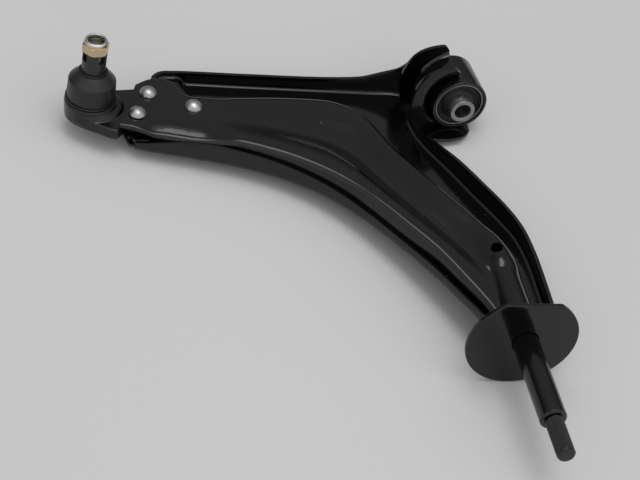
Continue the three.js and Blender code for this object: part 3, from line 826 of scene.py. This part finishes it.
def ball_joint_housing():
    plate_line = smooth_line([(x, y, 0) for x, y in (*HOUSING_OUTLINE, HOUSING_OUTLINE[0])], 150)[:-1]
    plate = slab(plate_line, PLATE_BOTTOM, PLATE_TOP, 1.2)
    socket = turned((
        (0, PLATE_BOTTOM), (20, PLATE_BOTTOM), (21, 11), (20.6, 12.6), (17.7, 13.2), (17.7, 27),
        (17, 28), (0, 28)), on_joint, 72, 0.5, closed=False)
    boss = turned(((0, 0), (23.5, 0), (23, 7.4), (21, 9.5), (0, 9.5)),
                  lambda x, y, z: on_joint(max(x, -17) + 3.5, y, z), 72, 0.5, closed=False)
    housing = join_meshes("ball_joint_forging", plate, socket, boss)
    modify(housing, "REMESH", mode="VOXEL", voxel_size=0.0007)
    modify(housing, "SMOOTH", factor=0.5, iterations=7)
    settle(housing)
    carve(housing, turned((
        (0, PLATE_BOTTOM - 5), (16, PLATE_BOTTOM - 5), (16, 19), (11.2, 23), (14.5, 32), (0, 32)),
        on_joint, 72, 0, closed=False))
    finish_piece(housing, FORGING_PAINT, "arm", "black_paint", "ball_joint_housing", sharp=60)


def dust_boot():
    """The rubber cover: a cylinder over the housing, a cone and a short collar round the sleeve."""
    boot = raw_object("dust_boot_cover", turned((
        (18.0, 28.2, 0.2), (18.0, 13.6, 0.2), (19.5, 13.6, 0.3), (19.4, 22, 4), (19.0, 31.6, 1.6),
        (11.8, 39.0, 0.8), (10.9, 39.4, 0.3), (10.7, 41.2, 0.3), (9.9, 41.2, 0.2),
        (9.9, 38.2, 0.2), (8.4, 38, 0.2), (8.4, 36.4, 0.3), (10.4, 36.0, 0.6), (16.6, 30.4, 1)),
        on_joint, 72, 1.0))
    boot.data.materials.append(BOOT_RUBBER)
    boot.data.shade_smooth()
    boot.data.set_sharp_from_angle(angle=math.radians(50))
    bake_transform(boot)
    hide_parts("dust_boot")


def stud_sleeve():
    sleeve = raw_object("stud_cover_sleeve", turned((
        (8.1, 38.2), (9.6, 38.2), (9.6, 58.7), (8.1, 58.7)), on_joint, 72, 0.35))
    for angle in SLOT_ANGLES:
        cos, sin = math.cos(math.radians(angle)), math.sin(math.radians(angle))
        box = bmesh.new()
        bmesh.ops.create_cube(box, size=1.0)
        for vert in box.verts:
            x, y, z = vert.co.x * 40, vert.co.y * SLOT_WIDTH, vert.co.z * 2 * SLOT_DEPTH
            vert.co = on_joint(x * cos - y * sin, x * sin + y * cos, NUT_BOTTOM + z)
        carve(sleeve, box)
    finish_piece(sleeve, SLEEVE_PLASTIC, "stud", "sleeve_plastic", "stud_sleeve")


def lock_nut():
    """A hexagon with chamfered corners under a round locking collar."""
    corner = NUT_FLATS / math.sqrt(3)
    hexagon = [Vector((JOINT_X + corner * math.cos(NUT_TURN + math.pi / 3 * i),
                       JOINT_Y + corner * math.sin(NUT_TURN + math.pi / 3 * i))) for i in range(6)]
    nut = raw_object("locking_nut", slab(hexagon, NUT_BOTTOM, NUT_SHOULDER, 0.3))
    chamfers = turned((
        (0, NUT_BOTTOM - 1), (9.4, NUT_BOTTOM - 1), (9.4, NUT_BOTTOM), (10.9, NUT_BOTTOM + 1),
        (10.9, NUT_SHOULDER - 1.2), (9.6, NUT_SHOULDER + 0.2), (0, NUT_SHOULDER + 0.2)),
        on_joint, 72, 0, closed=False)
    carve(nut, chamfers, "INTERSECT")
    collar = turned((
        (0, 61), (9.2, 61), (9.2, NUT_TOP - 1, 1.4), (8.2, NUT_TOP, 0.6), (7.0, NUT_TOP, 0.5),
        (6.6, NUT_TOP - 1.2, 0.3), (0, NUT_TOP - 1.2)), on_joint, 72, 0.3, closed=False)
    carve(nut, collar, "UNION")
    bore = turned((
        (0, 50), (6.3, 50), (6.3, NUT_SHOULDER), (7.4, NUT_SHOULDER + 0.1), (7.4, NUT_TOP - 0.8),
        (6.7, NUT_TOP - 0.7), (6.7, 80), (0, 80)), on_joint, 72, 0, closed=False)
    carve(nut, bore)
    finish_piece(nut, ZINC, "stud", "yellow_zinc", "lock_nut", sharp=30)
    ring = raw_object("nut_nylon_ring", turned((
        (6.3, NUT_SHOULDER + 0.3), (7.1, NUT_SHOULDER + 0.3), (7.1, NUT_TOP - 1.2),
        (6.3, NUT_TOP - 1.2)), on_joint, 48, 0.3))
    finish_piece(ring, NYLON, "stud", "nylon", "nut_insert")


def ball_stud():
    centre, radius = 13.5, 12
    ball = [(radius * math.sin(a), centre - radius * math.cos(a), 0)
            for a in map(math.radians, range(0, 148, 6))]
    shank = [(6.5, 24.5), (6.5, 31), (7.8, 34.5), (7.8, 38.2), (6.6, 57), (6, 58), (6, 64),
             (5, 65), (0, 65)]
    stud = raw_object("ball_stud_turning",
                      turned(ball + shank, on_joint, 64, 0.6, closed=False))
    finish_piece(stud, PLAIN_STEEL, "stud", "bare_steel", "ball_stud")


def boot_rings():
    for name, body, node, inner, outer, low, high in (
            ("boot_clamp_ring", "arm", "boot_lower_ring", 19.6, 20.5, 13.8, 15.2),
            ("boot_neck_ring", "boot_neck", "boot_upper_ring", 10.9, 11.6, 39.9, 40.7)):
        ring = raw_object(name, turned(((inner, low), (outer, low), (outer, high), (inner, high)),
                                       on_joint, 64, 0.4))
        finish_piece(ring, FORGING_PAINT, body, "bare_steel", node)


ball_joint_housing()
dust_boot()
stud_sleeve()
lock_nut()
ball_stud()
boot_rings()


# ---- trees of geometry nodes ----
class Tree:
    """A geometry node tree with named size inputs."""

    def __init__(self, name, sizes):
        self.group = bpy.data.node_groups.new(name, "GeometryNodeTree")
        face = self.group.interface
        face.new_socket("Geometry", in_out="INPUT", socket_type="NodeSocketGeometry")
        for label, value in sizes.items():
            socket = face.new_socket(label, in_out="INPUT", socket_type="NodeSocketFloat")
            socket.default_value = value
        face.new_socket("Geometry", in_out="OUTPUT", socket_type="NodeSocketGeometry")
        self.inputs = self.node("NodeGroupInput").outputs
        self.result = self.node("NodeGroupOutput").inputs[0]

    def node(self, kind, links=(), **settings):
        made = self.group.nodes.new(kind)
        for key, value in settings.items():
            setattr(made, key, value)
        for socket, value in dict(links).items():
            target = made.inputs[socket]
            if isinstance(value, bpy.types.NodeSocket):
                self.group.links.new(value, target)
            else:
                target.default_value = value
        return made

    def math(self, operation, first, second=0.0):
        return self.node("ShaderNodeMath", {0: first, 1: second}, operation=operation).outputs[0]

    def finish(self, geometry, material):
        real = self.node("GeometryNodeRealizeInstances", {"Geometry": geometry})
        painted = self.node("GeometryNodeSetMaterial",
                            {"Geometry": real.outputs[0], "Material": material})
        self.group.links.new(painted.outputs[0], self.result)

    def run(self, obj, sizes):
        modifier = obj.modifiers.new(self.group.name, "NODES")
        modifier.node_group = self.group
        for item in self.group.interface.items_tree:
            if item.item_type == "SOCKET" and item.in_out == "INPUT" and item.name in sizes:
                modifier[item.identifier] = sizes[item.name]
        settle(obj)


RIVET_SIZES = {"Head radius": 0.0073, "Dome height": 0.0054, "Seat height": 0.0004}


def rivet_tree():
    """Domed heads set on points: a ball with its upper half lowered and its lower half flattened."""
    tree = Tree("riveted_heads", RIVET_SIZES)
    ball = tree.node("GeometryNodeMeshUVSphere", {"Segments": 48, "Rings": 24, "Radius": 1.0})
    place = tree.node("GeometryNodeInputPosition").outputs[0]
    parts = tree.node("ShaderNodeSeparateXYZ", {0: place})
    above = tree.math("MAXIMUM", parts.outputs[2], 0.0)
    below = tree.math("MINIMUM", parts.outputs[2], 0.0)
    dome = tree.math("MULTIPLY", tree.math("POWER", above, 1.15), tree.inputs["Dome height"])
    height = tree.math("ADD", dome, tree.math("MULTIPLY", below, tree.inputs["Seat height"]))
    width = [tree.math("MULTIPLY", parts.outputs[axis], tree.inputs["Head radius"]) for axis in (0, 1)]
    point = tree.node("ShaderNodeCombineXYZ", {0: width[0], 1: width[1], 2: height})
    head = tree.node("GeometryNodeSetPosition",
                     {"Geometry": ball.outputs["Mesh"], "Position": point.outputs[0]})
    turn = tree.node("FunctionNodeRandomValue", {"Seed": 7}, data_type="FLOAT_VECTOR")
    turn.inputs[0].default_value = (-0.05, -0.05, 0.0)
    turn.inputs[1].default_value = (0.05, 0.05, 6.2)
    spread = tree.node("GeometryNodeInstanceOnPoints", {
        "Points": tree.inputs["Geometry"], "Instance": head.outputs[0], "Rotation": turn.outputs[0]})
    tree.finish(spread.outputs[0], RIVET_STEEL)
    return tree


def rivets():
    tree = rivet_tree()
    heads = bmesh.new()
    for x, y in RIVETS:
        heads.verts.new(at(x, y, PLATE_LEVEL + 0.35))
    piece = raw_object("rivet_heads", heads)
    tree.run(piece, RIVET_SIZES)
    finish_piece(piece, RIVET_STEEL, "arm", "rivet_steel", "rivet_1", "rivet_2", "rivet_3", sharp=50)
    profile = ((0, RAISED_BOTTOM - 3.5), (5.4, RAISED_BOTTOM - 3.2), (6.4, RAISED_BOTTOM - 1.6),
               (6.4, RAISED_BOTTOM - 0.3), (4, RAISED_BOTTOM - 0.3), (4, PLATE_LEVEL + 0.3),
               (0, PLATE_LEVEL + 0.3))
    shanks = join_meshes("rivet_shanks", *[
        turned(profile, lambda a, b, c, x=x, y=y: at(x + a, y + b, c), 40, 0.5, closed=False)
        for x, y in RIVETS])
    finish_piece(shanks, RIVET_STEEL, "arm", "rivet_steel")


def thread_tree():
    """Cuts a screw thread into the slim end of a turned pin that lies along Y."""
    tree = Tree("screw_thread", dict.fromkeys(
        ("Axis x", "Axis z", "Start", "End", "Pitch", "Depth"), 0.0))
    place = tree.node("GeometryNodeInputPosition").outputs[0]
    parts = tree.node("ShaderNodeSeparateXYZ", {0: place})
    x = tree.math("SUBTRACT", parts.outputs[0], tree.inputs["Axis x"])
    z = tree.math("SUBTRACT", parts.outputs[2], tree.inputs["Axis z"])
    turn = tree.math("DIVIDE", tree.math("ARCTAN2", z, x), math.tau)
    along = tree.math("DIVIDE", parts.outputs[1], tree.inputs["Pitch"])
    wave = tree.math("PINGPONG", tree.math("FRACT", tree.math("ADD", along, turn)), 0.5)
    after = tree.node("ShaderNodeMapRange", {0: parts.outputs[1], 1: tree.inputs["Start"]})
    tree.group.links.new(tree.math("ADD", tree.inputs["Start"], 0.003), after.inputs[2])
    before = tree.node("ShaderNodeMapRange", {0: parts.outputs[1], 2: tree.inputs["End"]})
    tree.group.links.new(tree.math("SUBTRACT", tree.inputs["End"], 0.003), before.inputs[1])
    before.inputs[3].default_value, before.inputs[4].default_value = 1.0, 0.0
    share = tree.math("MULTIPLY", after.outputs[0], before.outputs[0])
    squares = tree.math("ADD", tree.math("MULTIPLY", x, x), tree.math("MULTIPLY", z, z))
    reach = tree.math("MAXIMUM", tree.math("SQRT", squares), 1e-6)
    depth = tree.math("MULTIPLY", share, tree.inputs["Depth"])
    cut = tree.math("MULTIPLY", tree.math("MULTIPLY", wave, 2.0), depth)
    scale = tree.math("DIVIDE", tree.math("MULTIPLY", cut, -1.0), reach)
    push = tree.node("ShaderNodeCombineXYZ", {0: tree.math("MULTIPLY", x, scale), 1: 0.0,
                                              2: tree.math("MULTIPLY", z, scale)})
    moved = tree.node("GeometryNodeSetPosition",
                      {"Geometry": tree.inputs["Geometry"], "Offset": push.outputs[0]})
    tree.finish(moved.outputs[0], PIN_PAINT)
    return tree


def pivot_pin():
    thread = [(THREAD_RADIUS, PIN_TIP + 1.6 + 0.16 * i, 0) for i in range(1, 190)]
    thread = [point for point in thread if point[1] < PIN_SHOULDER - 0.3]
    pin = raw_object("pivot_pin_turning", turned(
        [(0, PIN_TIP), (5.6, PIN_TIP, 0.4), (THREAD_RADIUS, PIN_TIP + 1.4, 0.2)] + thread
        + [(THREAD_RADIUS - 0.4, PIN_SHOULDER, 0.2), (PIN_RADIUS - 1.3, PIN_SHOULDER, 0.2),
           (PIN_RADIUS, PIN_SHOULDER + 1.4, 0.6), (PIN_RADIUS, PIN_INNER), (0, PIN_INNER)],
        on_pin, 72, 0.3, closed=False))
    start, end = at(0, PIN_TIP + 0.6, 0), at(0, PIN_SHOULDER + 0.5, 0)
    thread_tree().run(pin, {"Axis x": start.x, "Axis z": start.z, "Start": start.y, "End": end.y,
                            "Pitch": THREAD_PITCH / 1000, "Depth": THREAD_DEPTH / 1000})
    finish_piece(pin, PIN_PAINT, "arm", "black_paint", "pivot_pin", sharp=42)


def thrust_washer():
    """A disc with a flat on its upper edge and rounded rims, its hole a little off its middle."""
    half, edge, radius, shift, flat = 1.75, 0.7, 43.0, -2.5, 37.5
    angles = [math.tau * i / 192 for i in range(192)]

    def rim(back):
        points = []
        for a in angles:
            reach = radius - back
            if math.sin(a) * reach > flat - back:
                reach = (flat - back) / math.sin(a)
            points.append((shift + reach * math.cos(a), reach * math.sin(a)))
        return points

    def hole(reach):
        return [(reach * math.cos(a), reach * math.sin(a)) for a in angles]

    rows = [(hole(10.3), -half + 0.4), (hole(10.7), -half), (hole(14), -half), (rim(3), -half)]
    for step in range(5):
        angle = math.pi / 2 * step / 4
        rows.append((rim(edge * (1 - math.sin(angle))), -half + edge * (1 - math.cos(angle))))
    rows += [(line, -depth) for line, depth in reversed(rows)]
    washer = raw_object("thrust_washer_disc", loft(
        [[at(x, y, z) for x, z in line] for line, y in rows], close=True))
    finish_piece(washer, WASHER_COAT, "arm", "washer_steel", "thrust_washer")


rivets()
pivot_pin()
thrust_washer()


# ---- the bush ----
def bush():
    tube = raw_object("bush_tube_turning", turned((
        (TUBE_RADIUS - TUBE_WALL, 0), (TUBE_RADIUS, 0), (TUBE_RADIUS, TUBE_LENGTH),
        (TUBE_RADIUS - TUBE_WALL, TUBE_LENGTH)), on_bush, 96, 0.7))
    finish_piece(tube, TUBE_PAINT, "arm", "black_paint", "bush_tube")
    shell = raw_object("bush_outer_ring", turned((
        (20.0, 1), (21.4, 1), (21.4, TUBE_LENGTH - 1), (20.0, TUBE_LENGTH - 1)), on_bush, 96, 0.5))
    finish_piece(shell, PLAIN_STEEL, "arm", "bare_steel", "bush_outer_sleeve")
    front = [(19.7, 2.6, 0.5), (18.6, 4.2, 1), (16.8, 5.6, 1), (15.2, 5.2, 1), (13.8, 3.2, 1.2),
             (12.6, 1.6, 0.8), (11.1, 0.6, 0.3)]
    back = [(r, TUBE_LENGTH - h, c) for r, h, c in reversed(front)]
    filling = raw_object("bush_rubber_moulding", turned(front + back, on_bush, 96, 0.8))
    finish_piece(filling, BUSH_RUBBER, "arm", "bush_rubber", "bush_rubber", sharp=60)
    core = raw_object("bush_bolt_sleeve", turned((
        (7.1, -8.5, 0.6), (10.8, -8.5, 0.5), (10.8, TUBE_LENGTH + 8.5, 0.5),
        (7.1, TUBE_LENGTH + 8.5, 0.6)), on_bush, 96, 0.5))
    finish_piece(core, SLEEVE_STEEL, "bush_core", "bare_steel", "bush_inner_sleeve")


bush()


# ---- materials of the CAD nodes that stay ----
def keep_node(name, material):
    node = bpy.data.objects[name]
    node.data.materials.clear()
    node.data.materials.append(material)


keep_node("ball_seat", NYLON)
keep_node("housing_end_cap", PLAIN_STEEL)


# ---- floor and light ----
TABLE_HALF = 6000
TABLE_LEVEL, TABLE_SLOPE = -43.2, 29.5 / 302    # under the washer, and its rise towards +Y


def make_floor():
    """The table. The arm leans on its washer and its far side, so the table slopes under it."""
    bm = bmesh.new()
    corners = [(x * TABLE_HALF, y * TABLE_HALF, TABLE_LEVEL + TABLE_SLOPE * (y * TABLE_HALF + 2))
               for x, y in ((-1, -1), (1, -1), (1, 1), (-1, 1))]
    bm.faces.new([bm.verts.new(at(*corner)) for corner in corners])
    floor = raw_object("table", bm)
    cloth = Finish("table_top", 0.75)
    cloth.set("Base Color", cloth.colours(cloth.noise(1.2, 2), [
        (0.3, (0.60, 0.60, 0.60)), (0.7, (0.63, 0.63, 0.63))]))
    cloth.bump(cloth.noise(500, 3), 0.05, 0.0005)
    floor.data.materials.append(cloth.material)


# Brightness of the room at heights from the horizon, 0, to straight up, 1.
FRONT_LIGHT = ((0.0, 0.42), (0.4, 0.42), (0.75, 0.42), (0.92, 0.52), (1.0, 0.85))
BACK_LIGHT = ((0.0, 0.03), (0.25, 0.045), (0.45, 0.10), (0.62, 0.18), (0.9, 0.22), (0.97, 0.55),
              (1.0, 0.85))
ROOM_LIGHT = 1.95
SOFTBOX_SIZE, SOFTBOX_POWER = (1.4, 0.7), 7     # metres, watts


def make_world():
    """A pale room, darker behind the arm and low down."""
    world = bpy.data.worlds.new("studio")
    bpy.context.scene.world = world
    world.use_nodes = True
    tree = world.node_tree
    coords = tree.nodes.new("ShaderNodeTexCoord")
    parts = tree.nodes.new("ShaderNodeSeparateXYZ")
    blend = tree.nodes.new("ShaderNodeMix")
    blend.data_type = "RGBA"
    side = tree.nodes.new("ShaderNodeMapRange")
    side.inputs[1].default_value, side.inputs[2].default_value = -0.3, 0.3
    tree.links.new(coords.outputs["Generated"], parts.inputs[0])
    tree.links.new(parts.outputs[1], side.inputs[0])
    tree.links.new(side.outputs[0], blend.inputs[0])
    for socket, shades in zip((blend.inputs[6], blend.inputs[7]), (FRONT_LIGHT, BACK_LIGHT)):
        ramp = tree.nodes.new("ShaderNodeValToRGB")
        fill_ramp(ramp.color_ramp, [(height, (shade, shade, shade)) for height, shade in shades])
        tree.links.new(parts.outputs[2], ramp.inputs[0])
        tree.links.new(ramp.outputs[0], socket)
    tree.links.new(blend.outputs[2], tree.nodes["Background"].inputs[0])
    tree.nodes["Background"].inputs[1].default_value = ROOM_LIGHT


def area_light(name, place, aim, size, power):
    data = bpy.data.lights.new(name, "AREA")
    data.shape = "RECTANGLE"
    data.size, data.size_y = size
    data.energy = power
    light = bpy.data.objects.new(name, data)
    start, goal = at(*place), at(*aim)
    turn = (goal - start).to_track_quat("-Z", "Y").to_matrix().to_4x4()
    light.matrix_world = Matrix.Translation(start) @ turn
    bpy.context.scene.collection.objects.link(light)


make_floor()
make_world()
area_light("overhead_softbox", (-150, 100, 1700), (-120, 120, 0), SOFTBOX_SIZE, SOFTBOX_POWER)
bpy.context.scene.view_settings.view_transform = "Standard"
